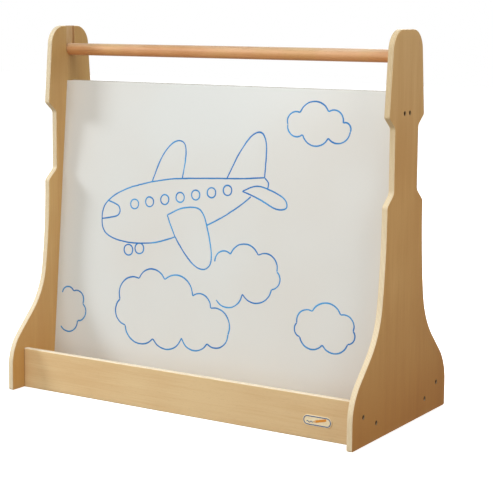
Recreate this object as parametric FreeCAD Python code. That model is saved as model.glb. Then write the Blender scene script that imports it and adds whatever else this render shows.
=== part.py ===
"""Double-sided wooden drawing easel for children, with a tray on each side and a lift-out paper rod.

Two shaped plywood side panels stand on edge. Between them sit two leaning dry-wipe boards, back to back,
a tray floor, two tray fences and a round beech rod that lies in grooves open at the top.
Frame: +X along the rod, front board facing -Y, +Z up, origin at the centre of the footprint on the floor.
All sizes are in millimetres.
"""

import FreeCAD
import Part
import math
import os

from FreeCAD import Vector

# Overall size
WIDTH = 800.0
DEPTH = 400.0
HEIGHT = 750.0
PLY = 12.0  # thickness of the side panels, fences and floor
EDGE_ROUND = 2.0  # rounded arris of the side panels
INNER_X = WIDTH / 2 - PLY  # inner face of the right side panel

# Outline of a side panel: half depth against height, from the foot up
FOOT_UPRIGHT = 50.0  # height of the straight part of the foot
FOOT_CORNER = 4.0  # rounded corner on the floor
FOOT_RADIUS = 95.0  # convex curve over the tray
FLANK_ANGLE = 45.0  # lean of the straight between the two curves
SCOOP_RADIUS = 160.0  # tight part of the hollow curve
SCOOP_END_ANGLE = 8.3  # lean where the slow part of the hollow curve begins
SHOULDER_HALF = 75.5  # half depth at the lower shoulder
SHOULDER_Z = 424.0
SHOULDER_ANGLE = 50.0
SHOULDER_OUTER_RADIUS = 9.0
SHOULDER_INNER_RADIUS = 12.0
WAIST_HALF = 49.5  # half depth of the waist, where hands hold the panel
CHEEK_Z = 566.0  # top of the waist
CHEEK_ANGLE = 52.0
CHEEK_INNER_RADIUS = 10.0
CHEEK_OUTER_RADIUS = 6.0
HEAD_HALF = 73.5  # half depth at the foot of the head
HEAD_TAPER = 5.3  # lean of the head's edges
HEAD_CORNER = 40.0  # rounded top corners

# Leaning boards
LEAN = 5.0  # from upright, degrees
BOARD_TOP_Z = 635.0  # front top edge
BOARD_TOP_Y = 12.0  # distance of that edge from the mid plane
BOARD_HEIGHT = 603.0  # along the lean
BOARD_THICK = 9.0
SHEET_THICK = 0.8  # laminate on each face of a board
CORE_THICK = BOARD_THICK - 2 * SHEET_THICK

# Tray
FENCE_FRONT_Y = 163.0  # outer face of a fence, from the mid plane
FENCE_HEIGHT = 83.0
FENCE_ROUND = 2.5
FLOOR_MID_Z = 33.0
FLOOR_TOP_Z = FLOOR_MID_Z + PLY / 2
GROOVE_PLAY = 0.25  # round the foot of a board in its floor groove

# Rod and its grooves
ROD_DIAMETER = 25.0
ROD_Z = 700.5
ROD_END_PLAY = 1.0
ROD_END_ROUND = 1.5
SEAT_WIDTH = 28.0
SEAT_DEPTH = 6.0
SEAT_GAP = 0.3  # under the rod

# Screws: one per joint end, heads sunk in the side panels
HEAD_RECESS_DIAMETER = 9.0
HEAD_RECESS_DEPTH = 6.0
SCREW_HEAD_DIAMETER = 8.4
SCREW_HEAD_HEIGHT = 2.6
SCREW_HEAD_ROUND = 0.5
SCREW_SOCKET_ACROSS = 3.0  # hexagon, across flats
SCREW_SOCKET_DEPTH = 1.8
SCREW_LENGTH = 38.0  # under the head
SCREW_SHANK_DIAMETER = 3.6
SCREW_THREAD_DIAMETER = 4.0
SCREW_ROOT_DIAMETER = 2.7
SCREW_PITCH = 1.8
SCREW_PLAIN_LENGTH = 10.0
SCREW_TIP_LENGTH = 4.0
THREAD_VALLEY_START = 0.15  # shares of a pitch
THREAD_VALLEY_END = 0.60
THREAD_CREST = 0.85
SCREW_HOLE_DIAMETER = 4.2
SCREW_HOLE_SPARE = 1.0  # pilot hole past the tip

# Wooden locating pins, one in each end of a fence, which has only one screw there and could turn about it
PIN_DIAMETER = 6.0
PIN_LENGTH = 28.0
PIN_IN_PANEL = 8.0
PIN_SPARE = 1.0  # hole past the end of the pin
PIN_CHAMFER = 0.6
PIN_FIT = 0.05  # radial room in its hole
PIN_HOLE_DIAMETER = PIN_DIAMETER + 2 * PIN_FIT

# Places of the fixings, as distance from the mid plane and height
FENCE_MID_Y = FENCE_FRONT_Y - PLY / 2
BOARD_SCREW_Z = 596.0
FENCE_SCREW_Z = FENCE_HEIGHT / 2 + 14.0
FENCE_PIN_Z = FENCE_HEIGHT / 2 - 14.0
FLOOR_SCREW_Y = 104.5

# Blank name plate on the front fence
PLATE_LENGTH = 60.0
PLATE_HEIGHT = 20.0
PLATE_THICK = 1.2
PLATE_ROUND = 0.4
PLATE_X = 309.0
PLATE_Z = 35.5

OUT = "parts"
CUT_OVERRUN = 5.0  # how far a cutting tool runs past a face
TINY = 1e-6
X_AXIS = Vector(1, 0, 0)
Y_AXIS = Vector(0, 1, 0)
Z_AXIS = Vector(0, 0, 1)
ORIGIN = Vector(0, 0, 0)
FRONT, REAR = -1, 1
LEFT, RIGHT = -1, 1


class Outline:
    """A chain of tangent lines and arcs in half depth and height, heading up and leaning inwards."""

    def __init__(self, half, z):
        self.half, self.z, self.lean = half, z, 0.0
        self.edges = []

    def _point(self, half, z):
        return Vector(0, half, z)

    def _move(self, half, z, via=None):
        start, end = self._point(self.half, self.z), self._point(half, z)
        if via is None:
            self.edges.append(Part.LineSegment(start, end).toShape())
        else:
            self.edges.append(Part.Arc(start, via, end).toShape())
        self.half, self.z = half, z

    def line(self, length):
        a = math.radians(self.lean)
        self._move(self.half - length * math.sin(a), self.z + length * math.cos(a))

    def rise_to(self, z):
        self.line((z - self.z) / math.cos(math.radians(self.lean)))

    def turn(self, radius, degrees):
        """An arc that turns inwards for positive degrees and outwards for negative ones."""
        side = 1 if degrees > 0 else -1
        a = math.radians(self.lean)
        centre_half = self.half - side * radius * math.cos(a)
        centre_z = self.z - side * radius * math.sin(a)
        places = []
        for share in (0.5, 1.0):
            b = a + share * math.radians(degrees)
            places.append((centre_half + side * radius * math.cos(b), centre_z + side * radius * math.sin(b)))
        self._move(*places[1], via=self._point(*places[0]))
        self.lean += degrees


def flank_sizes():
    """Length of the flank's straight and radius of the slow curve that bring the outline to the shoulder."""
    a, b = math.radians(FLANK_ANGLE), math.radians(SCOOP_END_ANGLE)
    inwards = DEPTH / 2 - SHOULDER_HALF
    inwards -= FOOT_RADIUS * (1 - math.cos(a)) + SCOOP_RADIUS * (math.cos(b) - math.cos(a))
    upwards = SHOULDER_Z - FOOT_UPRIGHT
    upwards -= FOOT_RADIUS * math.sin(a) + SCOOP_RADIUS * (math.sin(a) - math.sin(b))
    across, along = 1 - math.cos(b), math.sin(b)
    det = math.sin(a) * along - math.cos(a) * across
    straight = (inwards * along - upwards * across) / det
    slow_radius = (upwards * math.sin(a) - inwards * math.cos(a)) / det
    return straight, slow_radius


def step_straight(change, both_radii, degrees):
    """Straight between two equal and opposite turns that together move the outline sideways by change."""
    a = math.radians(degrees)
    return (change - both_radii * (1 - math.cos(a))) / math.sin(a)


def panel_outline():
    """Half of the side panel's outline, from the floor up to the middle of the top edge."""
    straight, slow_radius = flank_sizes()
    half = Outline(DEPTH / 2, FOOT_CORNER)
    half.rise_to(FOOT_UPRIGHT)
    half.turn(FOOT_RADIUS, FLANK_ANGLE)
    half.line(straight)
    half.turn(SCOOP_RADIUS, SCOOP_END_ANGLE - FLANK_ANGLE)
    half.turn(slow_radius, -SCOOP_END_ANGLE)
    half.turn(SHOULDER_OUTER_RADIUS, SHOULDER_ANGLE)
    shoulder_step = SHOULDER_HALF - WAIST_HALF
    half.line(step_straight(shoulder_step, SHOULDER_OUTER_RADIUS + SHOULDER_INNER_RADIUS, SHOULDER_ANGLE))
    half.turn(SHOULDER_INNER_RADIUS, -SHOULDER_ANGLE)
    half.rise_to(CHEEK_Z)
    half.turn(CHEEK_INNER_RADIUS, -CHEEK_ANGLE)
    cheek_step = HEAD_HALF - WAIST_HALF
    half.line(step_straight(cheek_step, CHEEK_INNER_RADIUS + CHEEK_OUTER_RADIUS, CHEEK_ANGLE))
    half.turn(CHEEK_OUTER_RADIUS, CHEEK_ANGLE + HEAD_TAPER)
    corner_rise = HEAD_CORNER * (1 - math.sin(math.radians(HEAD_TAPER)))
    half.rise_to(HEIGHT - corner_rise)
    half.turn(HEAD_CORNER, 90 - HEAD_TAPER)
    half.line(half.half)
    return half.edges


def mirrored_y(shape):
    return shape.mirror(ORIGIN, Y_AXIS)


def mirrored_x(shape):
    return shape.mirror(ORIGIN, X_AXIS)


def foot_edges():
    """The floor edge between the two rounded foot corners."""
    run = DEPTH / 2 - FOOT_CORNER
    middle = FOOT_CORNER * (1 - math.sqrt(0.5))
    floor = Part.LineSegment(Vector(0, -run, 0), Vector(0, run, 0)).toShape()
    corner = Part.Arc(
        Vector(0, run, 0), Vector(0, DEPTH / 2 - middle, middle), Vector(0, DEPTH / 2, FOOT_CORNER)
    ).toShape()
    return [floor, corner, mirrored_y(corner)]


def board_mid_y(z):
    """Distance of a board's middle layer from the mid plane at a height."""
    lean = math.radians(LEAN)
    return BOARD_TOP_Y + (BOARD_TOP_Z - z) * math.tan(lean) - BOARD_THICK / 2 / math.cos(lean)


def screw_places():
    """(joined piece, distance from the mid plane, height) of the screws in one half of a side panel."""
    return [
        ("board", board_mid_y(BOARD_SCREW_Z), BOARD_SCREW_Z),
        ("fence", FENCE_MID_Y, FENCE_SCREW_Z),
        ("floor", FLOOR_SCREW_Y, FLOOR_MID_Z),
    ]


def round_bar(diameter, x_from, x_to, y, z):
    """A cylinder along X."""
    low, high = min(x_from, x_to), max(x_from, x_to)
    return Part.makeCylinder(diameter / 2, high - low, Vector(low, y, z), X_AXIS)


def rod_seat():
    """The groove in the inner face of the right side panel: round below the rod and open at the top."""
    start = INNER_X - CUT_OVERRUN
    end = INNER_X + SEAT_DEPTH
    centre_z = ROD_Z - ROD_DIAMETER / 2 - SEAT_GAP + SEAT_WIDTH / 2
    top_z = HEIGHT + CUT_OVERRUN
    slot = Part.makeBox(end - start, SEAT_WIDTH, top_z - centre_z, Vector(start, -SEAT_WIDTH / 2, centre_z))
    return round_bar(SEAT_WIDTH, start, end, 0, centre_z).fuse(slot)


def panel_cutters():
    """Everything drilled or routed out of the right side panel."""
    outer = WIDTH / 2
    recess_floor = outer - HEAD_RECESS_DEPTH
    past_inner = INNER_X - CUT_OVERRUN
    tools = [rod_seat()]
    for face in (FRONT, REAR):
        for _, y, z in screw_places():
            tools.append(round_bar(HEAD_RECESS_DIAMETER, recess_floor, outer + CUT_OVERRUN, face * y, z))
            tools.append(round_bar(SCREW_HOLE_DIAMETER, past_inner, outer, face * y, z))
        pin_end = INNER_X + PIN_IN_PANEL + PIN_SPARE
        tools.append(round_bar(PIN_HOLE_DIAMETER, past_inner, pin_end, face * FENCE_MID_Y, FENCE_PIN_Z))
    return tools


def side_panel():
    """The right side panel, cut to its outline, rounded over on both faces, then drilled and grooved."""
    half = panel_outline()
    edges = half + [mirrored_y(e) for e in half] + foot_edges()
    outline = Part.Wire(Part.sortEdges(edges)[0])
    blank = Part.Face(outline).extrude(Vector(PLY, 0, 0))
    blank.translate(Vector(INNER_X, 0, 0))
    rim = [e for e in blank.Edges if e.BoundBox.XLength < TINY]
    blank = blank.makeFillet(EDGE_ROUND, rim)
    return blank.cut(panel_cutters())


def lean_transform(face):
    """Moves a slab drawn with its outer face on Y = 0 and its top on Z = 0 to where that board leans."""
    lean = FreeCAD.Rotation(X_AXIS, -LEAN)
    place = FreeCAD.Placement(Vector(0, -BOARD_TOP_Y, BOARD_TOP_Z), lean)
    turn = FreeCAD.Placement(ORIGIN, FreeCAD.Rotation(Z_AXIS, 0 if face == FRONT else 180))
    return turn.multiply(place)


def board_layer(face, depth, thick, grow=0.0):
    """A layer of a leaning board, from depth behind its outer face; grow widens it all round for a groove."""
    slab = Part.makeBox(
        2 * INNER_X,
        thick + 2 * grow,
        BOARD_HEIGHT + grow,
        Vector(-INNER_X, depth - grow, -BOARD_HEIGHT - grow),
    )
    slab.Placement = lean_transform(face)
    return slab


def screw_holes(piece, face):
    """Pilot holes for the screws in both ends of a piece that runs between the side panels."""
    reach = SCREW_LENGTH + SCREW_HOLE_SPARE + HEAD_RECESS_DEPTH - PLY
    tools = []
    for side in (LEFT, RIGHT):
        for name, y, z in screw_places():
            if name == piece:
                start = side * (INNER_X - reach)
                end = side * (INNER_X + CUT_OVERRUN)
                tools.append(round_bar(SCREW_HOLE_DIAMETER, start, end, face * y, z))
    return tools


def pin_holes(face):
    """Holes for the locating pins in both ends of a fence."""
    reach = PIN_LENGTH - PIN_IN_PANEL + PIN_SPARE
    tools = []
    for side in (LEFT, RIGHT):
        start = side * (INNER_X - reach)
        end = side * (INNER_X + CUT_OVERRUN)
        tools.append(round_bar(PIN_HOLE_DIAMETER, start, end, face * FENCE_MID_Y, FENCE_PIN_Z))
    return tools


def board_core(face):
    return board_layer(face, SHEET_THICK, CORE_THICK).cut(screw_holes("board", face))


def tray_fence(face):
    """The low wall along the outside of a tray, with rounded long edges."""
    low_y = -FENCE_FRONT_Y if face == FRONT else FENCE_FRONT_Y - PLY
    plank = Part.makeBox(2 * INNER_X, PLY, FENCE_HEIGHT, Vector(-INNER_X, low_y, 0))
    long_edges = [e for e in plank.Edges if e.BoundBox.XLength > INNER_X]
    return plank.makeFillet(FENCE_ROUND, long_edges).cut(screw_holes("fence", face) + pin_holes(face))


def tray_floor():
    """One floor under both trays, with a groove for the foot of each board."""
    reach = FENCE_FRONT_Y - PLY
    plank = Part.makeBox(2 * INNER_X, 2 * reach, PLY, Vector(-INNER_X, -reach, FLOOR_MID_Z - PLY / 2))
    tools = []
    for face in (FRONT, REAR):
        tools.append(board_layer(face, 0, BOARD_THICK, GROOVE_PLAY))
        tools += screw_holes("floor", face)
    return plank.cut(tools)


def paper_rod():
    length = 2 * (INNER_X + SEAT_DEPTH - ROD_END_PLAY)
    rod = round_bar(ROD_DIAMETER, -length / 2, length / 2, 0, ROD_Z)
    rims = [e for e in rod.Edges if e.BoundBox.XLength < TINY]
    return rod.makeFillet(ROD_END_ROUND, rims)


def name_plate():
    """A blank plate with round ends, glued to the front fence."""
    radius = PLATE_HEIGHT / 2
    run = PLATE_LENGTH / 2 - radius
    back_y = -FENCE_FRONT_Y
    right_low = Vector(run, back_y, -radius)
    right_high = Vector(run, back_y, radius)
    left_low = Vector(-run, back_y, -radius)
    left_high = Vector(-run, back_y, radius)
    edges = [
        Part.LineSegment(left_low, right_low).toShape(),
        Part.Arc(right_low, Vector(run + radius, back_y, 0), right_high).toShape(),
        Part.LineSegment(right_high, left_high).toShape(),
        Part.Arc(left_high, Vector(-run - radius, back_y, 0), left_low).toShape(),
    ]
    plate = Part.Face(Part.Wire(edges)).extrude(Vector(0, -PLATE_THICK, 0))
    plate.translate(Vector(PLATE_X, 0, PLATE_Z))
    face_y = back_y - PLATE_THICK
    rim = [e for e in plate.Edges if abs(e.BoundBox.YMin - face_y) < TINY and e.BoundBox.YLength < TINY]
    return plate.makeFillet(PLATE_ROUND, rim)


def screw_profile():
    """Half section of a screw along +X from under its head, as (distance, radius) points."""
    points = [(0.0, 0.0), (0.0, SCREW_SHANK_DIAMETER / 2), (SCREW_PLAIN_LENGTH, SCREW_SHANK_DIAMETER / 2)]
    root, crest = SCREW_ROOT_DIAMETER / 2, SCREW_THREAD_DIAMETER / 2
    turns = int((SCREW_LENGTH - SCREW_TIP_LENGTH - SCREW_PLAIN_LENGTH) / SCREW_PITCH)
    for turn in range(turns):
        start = SCREW_PLAIN_LENGTH + turn * SCREW_PITCH
        points.append((start + THREAD_VALLEY_START * SCREW_PITCH, root))
        points.append((start + THREAD_VALLEY_END * SCREW_PITCH, root))
        points.append((start + THREAD_CREST * SCREW_PITCH, crest))
    points.append((SCREW_LENGTH - SCREW_TIP_LENGTH, root))
    points.append((SCREW_LENGTH, 0.0))
    return points


def screw():
    """A wood screw pointing along +X, with the underside of its hexagon-socket head at the origin."""
    corners = [Vector(x, 0, r) for x, r in screw_profile()]
    section = Part.Face(Part.makePolygon(corners + corners[:1]))
    body = section.revolve(ORIGIN, X_AXIS, 360)
    head = round_bar(SCREW_HEAD_DIAMETER, -SCREW_HEAD_HEIGHT, 0, 0, 0)
    rim = [e for e in head.Edges if abs(e.BoundBox.XMax + SCREW_HEAD_HEIGHT) < TINY]
    head = head.makeFillet(SCREW_HEAD_ROUND, rim)
    radius = SCREW_SOCKET_ACROSS / math.sqrt(3)
    ring = []
    for corner in range(7):
        a = math.radians(60 * corner)
        ring.append(Vector(-SCREW_HEAD_HEIGHT - CUT_OVERRUN, radius * math.cos(a), radius * math.sin(a)))
    socket = Part.Face(Part.makePolygon(ring)).extrude(Vector(CUT_OVERRUN + SCREW_SOCKET_DEPTH, 0, 0))
    return body.fuse(head).cut(socket).removeSplitter()


def placed_screw(side, y, z):
    """A screw driven inwards through a side panel, its head seated in the recess."""
    one = screw()
    if side == RIGHT:
        one = mirrored_x(one)
    one.translate(Vector(side * (WIDTH / 2 - HEAD_RECESS_DEPTH), y, z))
    return one


def locating_pin(side, face):
    """A short wooden pin with chamfered ends, partly in the side panel and partly in the end of a fence."""
    outer = side * (INNER_X + PIN_IN_PANEL)
    inner = outer - side * PIN_LENGTH
    pin = round_bar(PIN_DIAMETER, inner, outer, face * FENCE_MID_Y, FENCE_PIN_Z)
    rims = [e for e in pin.Edges if e.BoundBox.XLength < TINY]
    return pin.makeChamfer(PIN_CHAMFER, rims)


def fixings():
    """Every screw and locating pin, each under its own name."""
    made = {}
    for side, side_name in ((LEFT, "left"), (RIGHT, "right")):
        for face, face_name in ((FRONT, "front"), (REAR, "rear")):
            for piece, y, z in screw_places():
                made[f"screw_{piece}_{face_name}_{side_name}"] = placed_screw(side, face * y, z)
            made[f"locating_pin_{face_name}_{side_name}"] = locating_pin(side, face)
    return made


def easel():
    """All the pieces by name."""
    right_panel = side_panel()
    made = {
        "side_panel_right": right_panel,
        "side_panel_left": mirrored_x(right_panel),
        "tray_floor": tray_floor(),
        "paper_rod": paper_rod(),
        "name_plate": name_plate(),
    }
    for face, face_name in ((FRONT, "front"), (REAR, "rear")):
        made[f"tray_fence_{face_name}"] = tray_fence(face)
        made[f"board_core_{face_name}"] = board_core(face)
        made[f"writing_sheet_{face_name}"] = board_layer(face, 0, SHEET_THICK)
        made[f"backing_sheet_{face_name}"] = board_layer(face, SHEET_THICK + CORE_THICK, SHEET_THICK)
    made.update(fixings())
    return made


def solid_of(shape):
    """The one solid that a piece is made of."""
    solids = shape.Solids
    if len(solids) != 1 or not solids[0].isValid():
        raise ValueError(f"expected one valid solid, found {len(solids)}")
    return solids[0]


os.makedirs(OUT, exist_ok=True)
for node, shape in easel().items():
    solid = solid_of(shape)
    solid.exportStep(os.path.join(OUT, node + ".step"))
    print(f"{node}: {solid.Volume / 1000:.1f} cm3")
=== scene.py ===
"""Looks for a double-sided children's easel: leaning dry-wipe boards, trays and a lift-out rod.

The wooden pieces, the boards and the name plate keep their CAD shapes and get procedural finishes.
The screws and the marker drawing are built here by Geometry Nodes, the plate's emblem as meshes.
Metres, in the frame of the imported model: +X along the rod, the front board faces -Y, +Z up.
"""

import logging
import math
from dataclasses import dataclass, field
from enum import Enum

import bmesh
import bpy
from mathutils import Matrix, Vector


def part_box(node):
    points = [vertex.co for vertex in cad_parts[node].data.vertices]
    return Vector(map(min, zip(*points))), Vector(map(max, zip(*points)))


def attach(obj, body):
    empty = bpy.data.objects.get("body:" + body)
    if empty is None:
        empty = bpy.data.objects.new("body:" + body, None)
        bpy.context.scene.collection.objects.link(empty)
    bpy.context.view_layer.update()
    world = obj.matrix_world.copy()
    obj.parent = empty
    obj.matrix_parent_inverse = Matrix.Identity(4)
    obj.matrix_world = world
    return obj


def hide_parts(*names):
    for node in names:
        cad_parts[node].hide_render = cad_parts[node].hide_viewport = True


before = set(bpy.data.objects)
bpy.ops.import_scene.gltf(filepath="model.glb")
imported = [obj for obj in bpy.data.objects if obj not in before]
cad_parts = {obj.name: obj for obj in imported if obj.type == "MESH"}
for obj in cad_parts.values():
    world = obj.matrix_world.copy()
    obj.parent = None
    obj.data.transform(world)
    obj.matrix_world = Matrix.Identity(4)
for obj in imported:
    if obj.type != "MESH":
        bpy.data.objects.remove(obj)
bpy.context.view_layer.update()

MM = 0.001
FRAME_BODY = "frame"

Socket = bpy.types.NodeSocket
Colour = tuple[float, float, float, float]
Point = tuple[float, float]
Tint = tuple[float, float, float]
NO_TINT: Tint = (1.0, 1.0, 1.0)

log = logging.getLogger("easel")


class Axis(Enum):
    """A direction of the model's frame, by its place in a vector."""

    X = 0
    Y = 1
    Z = 2


class Labelled(Enum):
    """A choice whose name in lower case is part of node names."""

    @property
    def label(self) -> str:
        """The word that node names use."""
        return self.name.lower()


class Side(Labelled):
    """An end of the easel, as the sign of X."""

    LEFT = -1
    RIGHT = 1


class Face(Labelled):
    """A working face of the easel, as the sign of Y."""

    FRONT = -1
    REAR = 1


def rgb(red: float, green: float, blue: float) -> Colour:
    """Turn a display colour into the linear one that a shader wants.

    Args:
        red: Red, 0 to 255.
        green: Green, 0 to 255.
        blue: Blue, 0 to 255.

    Returns:
        Linear red, green and blue, with an alpha of 1.
    """

    def linear(level: float) -> float:
        """Undo the display curve for one channel."""
        share = level / 255
        return share / 12.92 if share <= 0.04045 else ((share + 0.055) / 1.055) ** 2.4

    return (linear(red), linear(green), linear(blue), 1.0)


# --- Building blocks: a shader graph, a Geometry Nodes tree and a mesh ---


def stand(name: str, data: bpy.types.ID) -> bpy.types.Object:
    """Put a mesh, a lamp or a lens into the scene.

    Args:
        name: Name of the object.
        data: What it shows.

    Returns:
        The object, at the origin.
    """
    thing = bpy.data.objects.new(name, data)
    bpy.context.scene.collection.objects.link(thing)
    return thing


class Graph:
    """A node tree written as short calls that each return a socket."""

    def __init__(self, tree: bpy.types.NodeTree) -> None:
        """Keep the tree whose nodes are added.

        Args:
            tree: The material's, world's or geometry tree.
        """
        self.tree = tree

    def add(
        self, kind: str, inputs: dict[str | int, object], output: str | int = 0, **settings: object
    ) -> Socket:
        """Add a node, set it up and link it.

        Args:
            kind: The node's type name.
            inputs: A socket to link or a constant to set, by input name or number.
            output: Which output to return.
            **settings: Properties of the node itself, set before its inputs.

        Returns:
            The asked output socket.
        """
        node = self.tree.nodes.new(kind)
        for name, value in settings.items():
            setattr(node, name, value)
        for name, value in inputs.items():
            self.feed(node.inputs[name], value)
        return node.outputs[output]

    def feed(self, socket: Socket, value: object) -> None:
        """Link a socket to another one, or give it a constant.

        Args:
            socket: The input socket.
            value: Another node's output, or the constant.
        """
        if isinstance(value, bpy.types.NodeSocket):
            self.tree.links.new(value, socket)
        else:
            socket.default_value = value

    def calc(
        self, operation: str, first: object, second: object = 0.0, third: object = 0.0
    ) -> Socket:
        """Add a Math node.

        Args:
            operation: The node's operation.
            first: First operand, a socket or a number.
            second: Second operand.
            third: Third operand, for the operations that take one.

        Returns:
            The result.
        """
        return self.add("ShaderNodeMath", {0: first, 1: second, 2: third}, operation=operation)

    def product(self, *factors: object) -> Socket:
        """Multiply values.

        Args:
            *factors: Two or more sockets or numbers.

        Returns:
            Their product.
        """
        total = factors[0]
        for factor in factors[1:]:
            total = self.calc("MULTIPLY", total, factor)
        return total

    def off_middle(self, share: Socket) -> Socket:
        """Measure how far a share lies from one half, so that both 0 and 1 give 1."""
        away = self.calc("ABSOLUTE", self.calc("SUBTRACT", share, 0.5))
        return self.calc("MULTIPLY", away, 2.0)

    def vector(self, operation: str, first: Socket, second: object) -> Socket:
        """Add a Vector Math node that gives a vector."""
        return self.add("ShaderNodeVectorMath", {0: first, 1: second}, operation=operation)

    def split(self, vector: Socket) -> dict[Axis, Socket]:
        """Take a vector apart.

        Args:
            vector: The vector.

        Returns:
            Its part on each axis.
        """
        parts = self.tree.nodes.new("ShaderNodeSeparateXYZ")
        self.tree.links.new(vector, parts.inputs[0])
        return {axis: parts.outputs[axis.value] for axis in Axis}

    def between(self, share: object, base: object, over: object) -> Socket:
        """Mix two numbers."""
        return self.add("ShaderNodeMix", {0: share, 2: base, 3: over}, data_type="FLOAT")

    def spread(
        self, value: object, low: float, high: float, to_low: float = 0.0, to_high: float = 1.0
    ) -> Socket:
        """Map a range of values smoothly onto another and hold it there outside.

        Args:
            value: The value that is mapped.
            low: Where the output is to_low.
            high: Where the output is to_high.
            to_low: Output at low.
            to_high: Output at high.

        Returns:
            The mapped value.
        """
        inputs = {0: value, 1: low, 2: high, 3: to_low, 4: to_high}
        return self.add("ShaderNodeMapRange", inputs, interpolation_type="SMOOTHSTEP")

    def noise(self, place: Socket, scale: float, detail: float = 2.0, rough: float = 0.5) -> Socket:
        """Add a noise texture.

        Args:
            place: Coordinates.
            scale: Features per metre.
            detail: Octaves.
            rough: Strength of the finer octaves.

        Returns:
            A value round 0.5.
        """
        inputs = {"Vector": place, "Scale": scale, "Detail": detail, "Roughness": rough}
        return self.add("ShaderNodeTexNoise", inputs)

    def stretched(self, place: Socket, scale: tuple[float, float, float]) -> Socket:
        """Squeeze coordinates so that a pattern on them runs long in one direction.

        Args:
            place: Coordinates.
            scale: Factor on each axis, where a small one makes long features.

        Returns:
            The new coordinates.
        """
        return self.add("ShaderNodeMapping", {"Vector": place, "Scale": scale})

    def blend(self, share: object, base: object, over: object, mode: str = "MIX") -> Socket:
        """Mix two colours.

        Args:
            share: How much of the second colour shows.
            base: First colour.
            over: Second colour.
            mode: Blend mode.

        Returns:
            The mixed colour.
        """
        inputs = {0: share, 6: base, 7: over}
        return self.add("ShaderNodeMix", inputs, output=2, data_type="RGBA", blend_type=mode)

    def tinted(self, share: object, colour: Socket, tint: Tint) -> Socket:
        """Multiply a colour by a tint, as far as the share says."""
        return self.blend(share, colour, (*tint, 1.0), "MULTIPLY")

    def weighted(self, *terms: tuple[Socket, float]) -> Socket:
        """Add up noises as swings about one half.

        Args:
            *terms: Pairs of a value round 0.5 and its weight.

        Returns:
            One half plus each weight times its value's distance from one half.
        """
        total: object = 0.5 - 0.5 * sum(weight for _, weight in terms)
        for value, weight in terms:
            total = self.calc("MULTIPLY_ADD", value, weight, total)
        return total


class Surface(Graph):
    """A material made round one Principled shader."""

    def __init__(self, name: str) -> None:
        """Start the material.

        Args:
            name: The material's name.
        """
        self.material = bpy.data.materials.new(name)
        self.material.use_nodes = True
        super().__init__(self.material.node_tree)
        self.shader = self.tree.nodes["Principled BSDF"]
        self.place = self.add("ShaderNodeTexCoord", {}, output="Object")
        self.along = self.split(self.place)

    def relief(self, height: Socket, depth: float, strength: float = 1.0) -> None:
        """Drive the shader's normal with a bump.

        Args:
            height: The relief, 0 to 1.
            depth: How deep a height of 1 is, in metres.
            strength: Share of the bump that shows.
        """
        bumped = self.add(
            "ShaderNodeBump",
            {"Strength": strength, "Distance": depth, "Height": height},
            output="Normal",
        )
        self.finish(Normal=bumped)

    def finish(self, **inputs: object) -> bpy.types.Material:
        """Set or link the shader's inputs, whose names have _ for a space here.

        Args:
            **inputs: A socket or a constant for each input.

        Returns:
            The material.
        """
        for name, value in inputs.items():
            self.feed(self.shader.inputs[name.replace("_", " ")], value)
        return self.material


class Recipe(Graph):
    """A Geometry Nodes tree with named sizes, run once on a start mesh to make a plain mesh."""

    def __init__(self, name: str) -> None:
        """Start the tree with a geometry input and output.

        Args:
            name: The tree's name.
        """
        super().__init__(bpy.data.node_groups.new(name, "GeometryNodeTree"))
        self.tree.interface.new_socket("Geometry", in_out="INPUT", socket_type="NodeSocketGeometry")
        self.tree.interface.new_socket(
            "Geometry", in_out="OUTPUT", socket_type="NodeSocketGeometry"
        )
        self.entry = self.tree.nodes.new("NodeGroupInput")
        self.identifiers: dict[str, str] = {}
        self.start = self.entry.outputs["Geometry"]

    def size(self, name: str) -> Socket:
        """Add a named input.

        Args:
            name: What the input is called.

        Returns:
            The socket that carries it inside the tree.
        """
        item = self.tree.interface.new_socket(name, in_out="INPUT", socket_type="NodeSocketFloat")
        self.identifiers[name] = item.identifier
        return self.entry.outputs[name]

    def close(self, geometry: Socket, finish: bpy.types.Material) -> None:
        """End the tree: real geometry with one material.

        Args:
            geometry: The last geometry socket.
            finish: The material.
        """
        real = self.add("GeometryNodeRealizeInstances", {"Geometry": geometry})
        dressed = self.add("GeometryNodeSetMaterial", {"Geometry": real, "Material": finish})
        leave = self.tree.nodes.new("NodeGroupOutput")
        self.tree.links.new(dressed, leave.inputs["Geometry"])

    def run(self, start: bpy.types.Mesh, name: str, sizes: dict[str, float]) -> bpy.types.Object:
        """Run the tree and keep its result as a plain mesh.

        Args:
            start: The mesh that the tree begins with.
            name: Name of the piece.
            sizes: A value for each named input.

        Returns:
            The finished object, at the origin, with no modifier.
        """
        piece = stand(name, start)
        modifier = piece.modifiers.new("recipe", "NODES")
        modifier.node_group = self.tree
        for label, identifier in self.identifiers.items():
            modifier[identifier] = sizes[label]
        graph = bpy.context.evaluated_depsgraph_get()
        made = bpy.data.meshes.new_from_object(piece.evaluated_get(graph), depsgraph=graph)
        piece.modifiers.remove(modifier)
        piece.data = made
        made.name = name
        bpy.data.meshes.remove(start)
        return piece


def polylines(name: str, chains: list[list[Vector]]) -> bpy.types.Mesh:
    """Make a mesh of loose edge chains, one for each stroke.

    Args:
        name: The mesh's name.
        chains: The points of each chain, in order.

    Returns:
        The mesh.
    """
    points: list[Vector] = []
    edges: list[tuple[int, int]] = []
    for chain in chains:
        first = len(points)
        points.extend(chain)
        edges.extend((first + step, first + step + 1) for step in range(len(chain) - 1))
    mesh = bpy.data.meshes.new(name)
    mesh.from_pydata(points, edges, [])
    return mesh


# --- Finishes ---


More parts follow.
